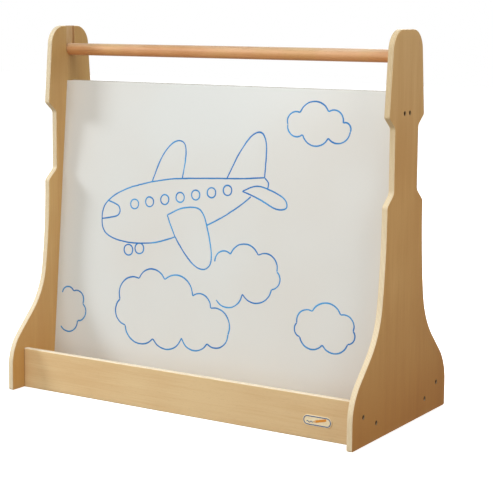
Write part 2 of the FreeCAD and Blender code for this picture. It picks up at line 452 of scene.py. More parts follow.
@dataclass(frozen=True)
class SheetTone:
    """The colours of one sheet of plywood, and the tints it takes toward its ends.

    The tints stand in for part of the shading, and at 1 they leave the bare wood.
    """

    face: Colour
    deep: Colour
    edge_pale: Colour = rgb(235, 222, 192)
    edge_dark: Colour = rgb(212, 191, 153)
    foot: Tint = NO_TINT
    head: Tint = NO_TINT
    edge_head: Tint = NO_TINT
    left: Tint = NO_TINT


@dataclass(frozen=True)
class Figure:
    """The noises that make up a veneer's figure, from broad clouds down to pores."""

    tone: Socket
    wide: Socket
    fine: Socket
    pores: Socket


@dataclass(frozen=True)
class BirchPlywood:
    """Lacquered birch plywood: fine-grained face veneer, pale layered edges, light wear.

    A band is where a tint starts and where it is full, as a height or, for the left, as X.
    """

    name: str
    through: Axis
    inner: float
    thickness: float
    grain: Axis
    sheet: SheetTone
    plies: int = 9
    foot_band: Point = (0.32, -0.04)
    head_band: Point = (0.42, 0.72)
    edge_head_band: Point = (0.30, 0.62)
    left_band: Point = (0.30, -0.38)
    glue: Colour = rgb(165, 132, 92)
    pore_share: float = 0.16
    glue_share: float = 0.38
    rub_share: float = 0.30
    scuff_share: float = 0.35
    polish_share: float = 0.12
    # paints shade down the walls of the screw recesses
    recess_shade: Colour = rgb(84, 56, 32)
    holes: tuple[Point, ...] = ()
    hole_radius: float = 0.0048
    hole_depth: float = 0.0036
    hole_blur: float = 0.0001
    milled: Colour = rgb(205, 176, 134)
    # a brown that paints shade on the groove walls and in the fence joints
    painted_shade_brown: Colour = rgb(168, 130, 86)
    groove_half: float = 0.0
    groove_foot: float = 0.0
    groove_side_play: float = 0.0022
    groove_foot_play: float = 0.001
    butt_end: float = 0.0
    butt_band: Point = (0.0030, 0.0002)
    butt_share: float = 0.75
    grip_low: float = 0.0
    grip_high: float = 0.0
    grip_blur: float = 0.03
    relief_depth: float = 0.00006

    def stretch(self, along: float) -> tuple[float, float, float]:
        """Scale factors that make a pattern long in the grain's direction.

        Args:
            along: Factor in the grain's direction, where it is 1 in the others.

        Returns:
            The factor on each axis.
        """
        factors = [1.0] * 3
        factors[self.grain.value] = along
        return tuple(factors)

    def figure(self, wood: Surface) -> Figure:
        """Lay the noises of the veneer along its grain.

        Args:
            wood: The material under way.

        Returns:
            The noises.
        """
        return Figure(
            tone=wood.noise(wood.place, 3.2, 2.0),
            wide=wood.noise(wood.stretched(wood.place, self.stretch(0.07)), 38.0, 4.0, 0.6),
            fine=wood.noise(wood.stretched(wood.place, self.stretch(0.03)), 330.0, 3.0, 0.55),
            pores=wood.noise(wood.stretched(wood.place, self.stretch(0.09)), 1500.0, 1.0),
        )

    def veneer(self, wood: Surface, figure: Figure) -> Socket:
        """Colour the face veneer.

        Args:
            wood: The material under way.
            figure: Its noises.

        Returns:
            The colour.
        """
        body = wood.weighted((figure.tone, 0.9), (figure.wide, 0.65), (figure.fine, 0.45))
        colour = wood.blend(wood.spread(body, 0.25, 0.75), self.sheet.deep, self.sheet.face)
        pores = wood.product(wood.spread(figure.pores, 0.60, 0.72), self.pore_share)
        colour = wood.blend(pores, colour, self.glue)
        height = wood.along[Axis.Z]
        # the foot, head and left tints paint shade and light onto the veneer
        colour = wood.tinted(wood.spread(height, *self.foot_band), colour, self.sheet.foot)
        colour = wood.tinted(wood.spread(height, *self.head_band), colour, self.sheet.head)
        return wood.tinted(
            wood.spread(wood.along[Axis.X], *self.left_band), colour, self.sheet.left
        )

    def edge(self, wood: Surface, depth: Socket, tone: Socket) -> tuple[Socket, Socket]:
        """Colour the cut edge: plies that lie crosswise by turns, with glue lines between them.

        Args:
            wood: The material under way.
            depth: Depth in the sheet, 0 to 1.
            tone: The broadest noise of the figure.

        Returns:
            The colour, and where a glue line runs, 0 to 1.
        """
        waver = wood.noise(wood.place, 14.0, 2.0)
        layer = wood.calc("MULTIPLY_ADD", waver, 0.35, wood.product(depth, float(self.plies)))
        joint = wood.spread(wood.off_middle(wood.calc("FRACT", layer)), 0.80, 0.98)
        cross = wood.calc("MODULO", wood.calc("FLOOR", layer), 2.0)
        specks = wood.noise(wood.place, 1900.0, 2.0, 0.6)
        long_specks = wood.noise(wood.stretched(wood.place, self.stretch(0.1)), 900.0, 2.0)
        grain_end = wood.blend(cross, long_specks, specks)
        body = wood.weighted((grain_end, 0.8), (cross, 0.35), (tone, 0.5))
        colour = wood.blend(wood.spread(body, 0.2, 0.8), self.sheet.edge_pale, self.sheet.edge_dark)
        colour = wood.blend(wood.product(joint, self.glue_share), colour, self.glue)
        # the edge tint toward the head paints shade
        up = wood.spread(wood.along[Axis.Z], *self.edge_head_band)
        return wood.tinted(up, colour, self.sheet.edge_head), joint

    def worn(self, wood: Surface, colour: Socket, outwards: Socket, wide: Socket) -> Socket:
        """Rub the arrises in patches and scuff the foot.

        Args:
            wood: The material under way.
            colour: The colour before use.
            outwards: 0 in the middle of the sheet, 1 at both faces.
            wide: The figure's wide streaks.

        Returns:
            The colour after it.
        """
        arris = wood.product(wood.spread(outwards, 0.74, 0.90), wood.spread(outwards, 0.99, 0.93))
        patches = wood.spread(wood.noise(wood.place, 45.0, 3.0, 0.6), 0.42, 0.70)
        rub = wood.product(arris, patches, self.rub_share)
        colour = wood.blend(rub, colour, self.glue)
        foot = wood.spread(wood.along[Axis.Z], 0.012, 0.0)
        scuff = wood.product(foot, wood.spread(wide, 0.40, 0.65), self.scuff_share)
        return wood.blend(scuff, colour, self.glue)

    def grip(self, wood: Surface, tone: Socket) -> Socket:
        """Find where hands have polished the panels.

        Args:
            wood: The material under way.
            tone: The broadest noise of the figure.

        Returns:
            How polished the wood is, 0 to 1.
        """
        height = wood.along[Axis.Z]
        rising = wood.spread(height, self.grip_low - self.grip_blur, self.grip_low + self.grip_blur)
        falling = wood.spread(
            height, self.grip_high + self.grip_blur, self.grip_high - self.grip_blur
        )
        return wood.product(rising, falling, wood.spread(tone, 0.3, 0.7))

    def butted(self, wood: Surface, colour: Socket) -> Socket:
        """Darken the ends that butt against another piece with a painted shade in the joint.

        Args:
            wood: The material under way.
            colour: The colour elsewhere.

        Returns:
            The colour with painted shade lines at the joints.
        """
        across = wood.calc("ABSOLUTE", wood.along[Axis.X])
        start, full = (self.butt_end - inset for inset in self.butt_band)
        # painted shade where a fence meets a panel
        corner = wood.spread(across, start, full, 0.0, self.butt_share)
        return wood.blend(corner, colour, self.painted_shade_brown, "MULTIPLY")

    def grooved(self, wood: Surface, depth: Socket, colour: Socket) -> Socket:
        """Colour the rod's groove: a milled floor between walls that take a painted shade.

        Args:
            wood: The material under way.
            depth: Depth in the sheet, 0 to 1, with the grooved face at 0.
            colour: The colour elsewhere.

        Returns:
            The colour with the groove in it.
        """
        across = wood.calc("ABSOLUTE", wood.along[Axis.Y])
        inside = wood.calc("LESS_THAN", across, self.groove_half + self.groove_side_play)
        foot = self.groove_foot - self.groove_foot_play
        above = wood.calc("GREATER_THAN", wood.along[Axis.Z], foot)
        open_side = wood.spread(depth, 0.53, 0.52)
        inside = wood.product(inside, above, open_side, wood.spread(depth, 0.04, 0.08))
        passes = wood.noise(wood.stretched(wood.place, (1.0, 1.0, 0.12)), 420.0, 2.0)
        floor = wood.blend(wood.spread(passes, 0.3, 0.7, 0.0, 0.5), self.milled, self.sheet.deep)
        # the groove's walls take the painted shade, its floor the milled colour
        floor_and_shaded_walls = wood.blend(wood.spread(depth, 0.44, 0.49), self.painted_shade_brown, floor)
        return wood.blend(inside, colour, floor_and_shaded_walls)

    def recess_shade_mask(self, wood: Surface, depth: Socket) -> Socket:
        """Find the walls of the screw recesses, which take a painted shade that deepens downwards.

        Args:
            wood: The material under way.
            depth: Depth in the sheet, 0 to 1, with the recessed face at 1.

        Returns:
            How deep the painted shade on the wall is, 0 to 1.
        """
        near: object = 1.0
        flat = wood.add("ShaderNodeCombineXYZ", {1: wood.along[Axis.Y], 2: wood.along[Axis.Z]})
        for y, z in self.holes:
            ends = {0: flat, 1: (0.0, y, z)}
            away = wood.add("ShaderNodeVectorMath", ends, "Value", operation="DISTANCE")
            near = wood.calc("MINIMUM", near, away)
        rim = (self.hole_radius + self.hole_blur, self.hole_radius - self.hole_blur)
        below = wood.spread(depth, 0.985, 1.0 - self.hole_depth / self.thickness, 0.25, 1.0)
        return wood.product(wood.spread(near, *rim), below)

    def build(self) -> bpy.types.Material:
        """Make the material.

        Returns:
            The material.
        """
        wood = Surface(self.name)
        distance = wood.calc(
            "SUBTRACT", wood.calc("ABSOLUTE", wood.along[self.through]), self.inner
        )
        depth = wood.calc("DIVIDE", distance, self.thickness)
        outwards = wood.off_middle(depth)
        is_face = wood.spread(outwards, 0.90, 0.94)
        figure = self.figure(wood)
        edge, joint = self.edge(wood, depth, figure.tone)
        colour = wood.blend(is_face, edge, self.veneer(wood, figure))
        colour = self.worn(wood, colour, outwards, figure.wide)
        if self.butt_end:
            colour = self.butted(wood, colour)
        polish: object = 0.0
        if self.grip_high > self.grip_low:
            polish = self.grip(wood, figure.tone)
            colour = wood.blend(wood.product(polish, self.polish_share), colour, self.sheet.deep)
        if self.groove_half:
            colour = self.grooved(wood, depth, colour)
        if self.holes:
            # painted shade in the screw recesses
            colour = wood.blend(self.recess_shade_mask(wood, depth), colour, self.recess_shade)

        is_edge = wood.calc("SUBTRACT", 1.0, is_face)
        rough = wood.calc("MULTIPLY_ADD", is_edge, 0.14, 0.40)
        rough = wood.calc("MULTIPLY_ADD", figure.fine, 0.10, rough)
        rough = wood.calc("MULTIPLY_ADD", polish, -0.08, rough)
        ridges = wood.product(wood.calc("SUBTRACT", 1.0, joint), is_edge)
        grain = wood.weighted((figure.fine, 0.6), (figure.pores, 0.6), (figure.wide, 0.2))
        wood.relief(wood.calc("ADD", ridges, wood.product(is_face, grain)), self.relief_depth, 0.7)
        return wood.finish(Base_Color=colour, Roughness=rough)


@dataclass(frozen=True)
class Beech:
    """Turned beech: straight fine grain, short dark ray flecks, and rings on the cut ends.

    Two tints pale its upper side and darken its lower one. They stand in for shading, and at 1
    they leave the bare wood. A band is where a tint starts and where it is full, above the
    middle of the piece.
    """

    name: str
    centre: tuple[float, float, float]
    half_length: float
    pale: Colour = rgb(211, 160, 112)
    mid: Colour = rgb(192, 134, 82)
    straw: Colour = rgb(199, 152, 95)
    upper_tint: Tint = (0.88, 1.12, 1.50)
    upper_band: Point = (0.004, 0.014)
    lower_tint: Tint = (1.04, 0.81, 0.54)
    lower_band: Point = (0.002, -0.012)
    fleck: Colour = rgb(146, 88, 50)

    def build(self) -> bpy.types.Material:
        """Make the material.

        Returns:
            The material.
        """
        wood = Surface(self.name)
        centred = wood.vector("SUBTRACT", wood.place, self.centre)
        long_way = wood.stretched(centred, (0.03, 1.0, 1.0))
        streaks = wood.noise(long_way, 210.0, 4.0, 0.62)
        threads = wood.noise(long_way, 900.0, 2.0)
        tone = wood.noise(wood.stretched(centred, (0.25, 1.0, 1.0)), 22.0, 2.0)
        drift = wood.noise(wood.stretched(centred, (1.0, 0.6, 0.6)), 9.0, 2.0)
        body = wood.weighted((streaks, 0.6), (threads, 0.3), (tone, 0.6), (drift, 0.6))
        colour = wood.blend(wood.spread(body, 0.28, 0.72), self.mid, self.pale)
        colour = wood.blend(wood.product(wood.spread(drift, 0.45, 0.62), 0.6), colour, self.straw)
        height = wood.calc("SUBTRACT", wood.along[Axis.Z], self.centre[2])
        up = wood.calc("ADD", height, wood.product(tone, 0.004))
        colour = wood.tinted(wood.spread(up, *self.upper_band), colour, self.upper_tint)
        colour = wood.tinted(wood.spread(up, *self.lower_band), colour, self.lower_tint)
        dark_lines = wood.product(wood.spread(streaks, 0.42, 0.28), 0.22)
        colour = wood.blend(dark_lines, colour, self.fleck)
        flecks = wood.noise(wood.stretched(centred, (0.22, 1.0, 1.0)), 1300.0, 1.0)
        fleck_mask = wood.spread(flecks, 0.64, 0.74)
        colour = wood.blend(wood.product(fleck_mask, 0.45), colour, self.fleck)
        flat = wood.stretched(centred, (0.0, 1.0, 1.0))
        radius = wood.add("ShaderNodeVectorMath", {0: flat}, "Value", operation="LENGTH")
        rings = wood.calc(
            "SINE", wood.calc("MULTIPLY_ADD", tone, 9.0, wood.product(radius, 4200.0))
        )
        from_end = wood.calc("ABSOLUTE", wood.along[Axis.X])
        is_end = wood.spread(from_end, self.half_length - 0.0004, self.half_length - 0.0001)
        end = wood.blend(wood.spread(rings, -1.0, 1.0, 0.1, 0.6), self.mid, self.fleck)
        colour = wood.blend(is_end, colour, end)
        rough = wood.calc("MULTIPLY_ADD", streaks, 0.14, 0.34)
        wood.relief(wood.weighted((threads, 0.5), (fleck_mask, -0.5), (streaks, 0.4)), 0.00006, 0.6)
        return wood.finish(
            Base_Color=colour,
            Roughness=rough,
            Coat_Weight=0.15,
            Coat_Roughness=0.35,
            Sheen_Weight=0.12,
        )


@dataclass(frozen=True)
class DryWipeSheet:
    """A white dry-wipe laminate, very slightly warmer in places, with a fine bloom in its gloss."""

    name: str = "dry_wipe_white"
    white: Colour = rgb(218, 221, 219)
    warm: Colour = rgb(216, 215, 210)
    ghost: Colour = rgb(190, 200, 210)

    def build(self) -> bpy.types.Material:
        """Make the material.

        Returns:
            The material.
        """
        sheet = Surface(self.name)
        cloud = sheet.noise(sheet.place, 2.4, 2.0)
        colour = sheet.blend(sheet.spread(cloud, 0.35, 0.65), self.white, self.warm)
        bloom = sheet.noise(sheet.place, 700.0, 3.0, 0.6)
        colour = sheet.blend(sheet.spread(bloom, 0.35, 0.85, 0.0, 0.10), colour, self.ghost)
        rough = sheet.calc("MULTIPLY_ADD", bloom, 0.05, 0.24)
        sheet.relief(sheet.noise(sheet.place, 260.0, 2.0), 0.00001, 0.3)
        return sheet.finish(
            Base_Color=colour, Roughness=rough, Coat_Weight=0.25, Coat_Roughness=0.12
        )


@dataclass(frozen=True)
class BackingLaminate:
    """The matt off-white laminate on the hidden side of a board."""

    name: str = "backing_laminate"
    light: Colour = rgb(206, 203, 193)
    dark: Colour = rgb(190, 186, 174)

    def build(self) -> bpy.types.Material:
        """Make the material.

        Returns:
            The material.
        """
        sheet = Surface(self.name)
        mottle = sheet.noise(sheet.place, 160.0, 4.0, 0.65)
        drift = sheet.noise(sheet.place, 4.0, 2.0)
        share = sheet.spread(sheet.weighted((mottle, 0.8), (drift, 0.6)), 0.3, 0.7)
        sheet.relief(mottle, 0.00005, 0.5)
        rough = sheet.calc("MULTIPLY_ADD", mottle, 0.1, 0.55)
        return sheet.finish(Base_Color=sheet.blend(share, self.light, self.dark), Roughness=rough)


@dataclass(frozen=True)
class FibreBoard:
    """The core of a board, whose cut edge is sealed grey and shows a little fibre."""

    name: str = "sealed_fibreboard"
    sealed: Colour = rgb(186, 188, 176)
    fibre: Colour = rgb(150, 142, 118)

    def build(self) -> bpy.types.Material:
        """Make the material.

        Returns:
            The material.
        """
        core = Surface(self.name)
        fibres = core.noise(core.stretched(core.place, (0.35, 1.0, 1.0)), 900.0, 3.0, 0.7)
        blotch = core.noise(core.place, 30.0, 2.0)
        share = core.spread(core.weighted((fibres, 0.9), (blotch, 0.5)), 0.42, 0.78, 0.0, 0.8)
        core.relief(fibres, 0.00008, 0.7)
        rough = core.calc("MULTIPLY_ADD", fibres, 0.2, 0.6)
        return core.finish(Base_Color=core.blend(share, self.sealed, self.fibre), Roughness=rough)


@dataclass(frozen=True)
class ScrewSteel:
    """Dark passivated steel, worn brighter on its ridges, with a little dust."""

    name: str = "dark_screw_steel"
    dark: Colour = rgb(46, 40, 34)
    worn: Colour = rgb(104, 94, 80)

    def build(self) -> bpy.types.Material:
        """Make the material.

        Returns:
            The material.
        """
        steel = Surface(self.name)
        scratches = steel.noise(steel.stretched(steel.place, (0.2, 1.0, 1.0)), 2600.0, 3.0, 0.6)
        patches = steel.noise(steel.place, 420.0, 3.0)
        share = steel.spread(steel.weighted((scratches, 0.6), (patches, 0.8)), 0.48, 0.80)
        dust = steel.noise(steel.place, 900.0, 2.0)
        steel.relief(scratches, 0.00003, 0.5)
        return steel.finish(
            Base_Color=steel.blend(share, self.dark, self.worn),
            Metallic=steel.spread(dust, 0.60, 0.75, 0.9, 0.6),
            Roughness=steel.calc("MULTIPLY_ADD", dust, 0.25, 0.28),
        )


@dataclass(frozen=True)
class MarkerInk:
    """Blue dry-wipe ink, thinner and paler where the pen moved fast."""

    name: str = "blue_marker_ink"
    full: Colour = rgb(10, 110, 184)
    thin: Colour = rgb(58, 154, 214)

    def build(self) -> bpy.types.Material:
        """Make the material.

        Returns:
            The material.
        """
        ink = Surface(self.name)
        speed = ink.noise(ink.place, 16.0, 2.0)
        grains = ink.noise(ink.place, 900.0, 2.0, 0.6)
        share = ink.spread(ink.weighted((speed, 1.2), (grains, 0.5)), 0.35, 0.75)
        ink.relief(grains, 0.00003, 0.5)
        rough = ink.calc("MULTIPLY_ADD", grains, 0.2, 0.42)
        return ink.finish(Base_Color=ink.blend(share, self.full, self.thin), Roughness=rough)


@dataclass(frozen=True)
class PlateEnamel:
    """A glossy moulded colour with slight mottling, for the name plate and its emblem."""

    name: str
    light: Colour
    dark: Colour
    roughness: float = 0.22

    def build(self) -> bpy.types.Material:
        """Make the material.

        Returns:
            The material.
        """
        enamel = Surface(self.name)
        mottle = enamel.noise(enamel.place, 240.0, 3.0)
        peel = enamel.noise(enamel.place, 1400.0, 1.0)
        enamel.relief(peel, 0.00002, 0.4)
        return enamel.finish(
            Base_Color=enamel.blend(enamel.spread(mottle, 0.3, 0.7), self.light, self.dark),
            Roughness=enamel.calc("MULTIPLY_ADD", mottle, 0.12, self.roughness),
            Coat_Weight=0.3,
            Coat_Roughness=0.1,
        )


def dress(node: str, finish: bpy.types.Material) -> None:
    """Give a CAD piece its finish.

    Args:
        node: The CAD node's name.
        finish: The material.
    """
    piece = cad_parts[node]
    if not piece.material_slots:
        piece.data.materials.append(finish)
    for held in piece.material_slots:
        held.material = finish
    log.info("dressed %s with %s", node, finish.name)


# --- Sub-assemblies ---


@dataclass
class SidePanels:
    """The two shaped plywood sides, which carry everything else."""

    grip_low: float = 0.455
    grip_high: float = 0.570
    # the foot, head and edge tints paint shade and light; the right foot's brown is painted shade
    left: SheetTone = SheetTone(
        face=rgb(207, 168, 107),
        deep=rgb(194, 150, 89),
        foot=(1.06, 1.02, 0.92),
        head=(0.90, 0.94, 1.00),
        edge_head=(0.88, 0.87, 0.85),
    )
    right: SheetTone = SheetTone(
        face=rgb(217, 175, 112),
        deep=rgb(203, 155, 92),
        foot=(0.70, 0.49, 0.23),
        head=(1.0, 1.08, 1.28),
        edge_head=(0.78, 0.72, 0.62),
    )

    def build(self) -> None:
        """Dress both side panels, each with its own wood tone and its own painted shade and light
        over its height.
        """
        screws = [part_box(node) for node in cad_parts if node.startswith("screw_")]
        middles = {((low.y + high.y) / 2, (low.z + high.z) / 2) for low, high in screws}
        rod_low, rod_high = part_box("paper_rod")
        low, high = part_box(f"side_panel_{Side.RIGHT.label}")
        for side, tone in {Side.LEFT: self.left, Side.RIGHT: self.right}.items():
            finish = BirchPlywood(
                name=f"birch_plywood_{side.label}",
                through=Axis.X,
                inner=low.x,
                thickness=high.x - low.x,
                grain=Axis.Z,
                sheet=tone,
                holes=tuple(sorted((round(y, 4), round(z, 4)) for y, z in middles)),
                groove_half=(rod_high.y - rod_low.y) / 2,
                groove_foot=rod_low.z,
                grip_low=self.grip_low,
                grip_high=self.grip_high,
            ).build()
            dress(f"side_panel_{side.label}", finish)


@dataclass
class Tray:
    """The floor under both trays and the fence along each of them."""

    fences: SheetTone = SheetTone(
        face=rgb(216, 187, 141),
        deep=rgb(205, 169, 121),
        edge_pale=rgb(240, 229, 205),
        edge_dark=rgb(224, 208, 178),
        # the left tint paints light: the fences grow paler toward their left end
        left=(1.17, 1.23, 1.28),
    )
    floor: SheetTone = SheetTone(face=rgb(216, 187, 141), deep=rgb(205, 169, 121))

    def build(self) -> None:
        """Dress the fences and the floor."""
        low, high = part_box(f"tray_fence_{Face.REAR.label}")
        fences = BirchPlywood(
            name="birch_plywood_fences",
            through=Axis.Y,
            inner=low.y,
            thickness=high.y - low.y,
            grain=Axis.X,
            sheet=self.fences,
            butt_end=high.x,
        ).build()
        for face in Face:
            dress(f"tray_fence_{face.label}", fences)
        low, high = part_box("tray_floor")
        floor = BirchPlywood(
            name="birch_plywood_floor",
            through=Axis.Z,
            inner=low.z,
            thickness=high.z - low.z,
            grain=Axis.X,
            sheet=self.floor,
        ).build()
        dress("tray_floor", floor)


@dataclass
class Boards:
    """The two leaning dry-wipe boards, each a fibreboard core between two laminates."""

    sheet: DryWipeSheet = field(default_factory=DryWipeSheet)
    backing: BackingLaminate = field(default_factory=BackingLaminate)
    core: FibreBoard = field(default_factory=FibreBoard)

    def build(self) -> None:
        """Dress the layers of both boards."""
        layers = {
            "writing_sheet": self.sheet, "backing_sheet": self.backing, "board_core": self.core
        }
        for layer, look in layers.items():
            finish = look.build()
            for face in Face:
                dress(f"{layer}_{face.label}", finish)


@dataclass
class PaperRod:
    """The loose beech rod."""

    def build(self) -> None:
        """Dress the rod."""
        low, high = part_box("paper_rod")
        centre = (low + high) / 2
        dress("paper_rod", Beech("oiled_beech", tuple(centre), high.x).build())


@dataclass
class Screws:
    """The twelve flat-headed socket screws, sunk in recesses in the side panels."""

    socket_radius: float = 1.65
    socket_depth: float = 1.7
    head_radius: float = 4.2
    head_depth: float = 2.6
    head_chamfer: float = 0.45
    socket_cone: float = 0.4
    lip_depth: float = 0.12
    lip_width: float = 0.15
    head_round: float = 0.2
    core_radius: float = 1.45
    thread_height: float = 0.55
    pitch: float = 1.8
    tip: float = 4.0
    rings: int = 150
    around: int = 24

    def profile(self) -> list[tuple[float, float, float]]:
        """List the rings of the head from the middle of the socket out to the neck.

        Returns:
            Depth below the head's top, radius and how hexagonal the ring is, for each ring.
        """
        inner = self.head_radius - self.head_chamfer
        return [
            (self.socket_depth + self.socket_cone, 0.0, 0.0),
            (self.socket_depth, self.socket_radius, 1.0),
            (self.lip_depth, self.socket_radius, 1.0),
            (0.0, self.socket_radius + self.lip_width, 1.0),
            (0.0, inner, 0.0),
            (self.head_chamfer, self.head_radius, 0.0),
            (self.head_depth - self.head_round, self.head_radius, 0.0),
            (self.head_depth, self.head_radius - self.head_round, 0.0),
            (self.head_depth, self.core_radius + self.thread_height, 0.0),
        ]

    def recipe(self, finish: bpy.types.Material) -> Recipe:
        """Make the tree that turns one screw on a lathe and sets a copy at each start point.

        Args:
            finish: The steel.

        Returns:
            The tree.
        """
        cut = Recipe("wood_screws")
        core, thread, pitch, length, tip = (
            cut.size(n) for n in ("Core", "Thread", "Pitch", "Length", "Tip")
        )
        head = self.profile()
        grid = cut.add(
            "GeometryNodeMeshGrid",
            {"Size X": 1.0, "Size Y": 1.0, "Vertices X": self.rings, "Vertices Y": self.around + 1},
            output="Mesh",
        )
        spot = cut.split(cut.add("GeometryNodeInputPosition", {}))
        ring = cut.calc("ROUND", cut.product(cut.calc("ADD", spot[Axis.X], 0.5), self.rings - 1.0))
        turn = cut.product(cut.calc("ADD", spot[Axis.Y], 0.5), math.tau)
        # the shank: a helical ridge on a core that runs out to a point
        share = cut.calc(
            "DIVIDE", cut.calc("SUBTRACT", ring, len(head) - 1.0), self.rings - float(len(head))
        )
        neck = self.head_depth * MM
        deep = cut.calc("MULTIPLY_ADD", share, cut.calc("SUBTRACT", length, neck), neck)
        phase = cut.calc("ADD", cut.calc("DIVIDE", deep, pitch), cut.calc("DIVIDE", turn, math.tau))
        ridge = cut.calc("PINGPONG", phase, 0.5)
        ridge = cut.calc("SMOOTH_MAX", cut.calc("MULTIPLY_ADD", ridge, 4.0, -1.0), 0.0, 0.1)
        smooth_neck = cut.spread(share, 0.06, 0.12)
        radius = cut.calc("MULTIPLY_ADD", cut.product(ridge, smooth_neck), thread, core)
        to_end = cut.calc("DIVIDE", cut.calc("SUBTRACT", length, deep), tip)
        point = cut.calc("MINIMUM", to_end, 1.0)
        radius = cut.product(radius, cut.calc("SQRT", cut.calc("MAXIMUM", point, 0.0)))
        # the head: one value for each ring
        hexed: Socket | float = 0.0
        for place, (depth, size, flats) in reversed(list(enumerate(head))):
            here = cut.calc("LESS_THAN", ring, place + 0.5)
            deep = cut.between(here, deep, depth * MM)
            radius = cut.between(here, radius, size * MM)
            hexed = cut.between(here, hexed, flats)
        sixth = math.pi / 3
        off_flat = cut.calc("SUBTRACT", cut.calc("MODULO", turn, sixth), sixth / 2)
        flat = cut.calc("DIVIDE", math.cos(sixth / 2), cut.calc("COSINE", off_flat))
        radius = cut.product(radius, cut.between(hexed, 1.0, flat))
        place_on = cut.add(
            "ShaderNodeCombineXYZ",
            {
                0: cut.product(deep, -1.0),
                1: cut.product(radius, cut.calc("COSINE", turn)),
                2: cut.product(radius, cut.calc("SINE", turn)),
            },
        )
        screw = cut.add("GeometryNodeSetPosition", {"Geometry": grid, "Position": place_on})
        screw = cut.add("GeometryNodeMergeByDistance", {"Geometry": screw, "Distance": 0.00001})
        where = cut.split(cut.add("GeometryNodeInputPosition", {}))
        about = cut.product(cut.calc("LESS_THAN", where[Axis.X], 0.0), math.pi)
        random_turn = cut.add(
            "FunctionNodeRandomValue", {2: 0.0, 3: math.tau, "Seed": 7}, output=1, data_type="FLOAT"
        )
        facing = cut.add("ShaderNodeCombineXYZ", {0: random_turn, 2: about})
        copies = {"Points": cut.start, "Instance": screw, "Rotation": facing}
        screws = cut.add("GeometryNodeInstanceOnPoints", copies)
        cut.close(screws, finish)
        return cut

    def build(self) -> None:
        """Set a screw in every recess, in place of the plain ones."""
        nodes = sorted(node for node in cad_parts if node.startswith("screw_"))
        tops, lengths = [], []
        for node in nodes:
            low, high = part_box(node)
            middle = (low + high) / 2
            tops.append(Vector((high.x if middle.x > 0 else low.x, middle.y, middle.z)))
            lengths.append(high.x - low.x)
        start = bpy.data.meshes.new("screw_places")
        start.from_pydata(tops, [], [])
        sizes = {
            "Core": self.core_radius * MM,
            "Thread": self.thread_height * MM,
            "Pitch": self.pitch * MM,
            "Length": min(lengths),
            "Tip": self.tip * MM,
        }
        piece = self.recipe(ScrewSteel().build()).run(start, "wood_screws", sizes)
        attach(piece, FRAME_BODY)
        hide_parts(*nodes)
        log.info("built wood_screws: %d screws, %d faces", len(nodes), len(piece.data.polygons))


@dataclass
class Pins:
    """The wooden pins that keep the fences from turning."""

    def build(self) -> None:
        """Dress every pin."""
        raw = Beech("raw_beech", (0.0, 0.0, 0.0), 1.0).build()
        for node in sorted(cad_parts):
            if node.startswith("locating_pin_"):
                dress(node, raw)


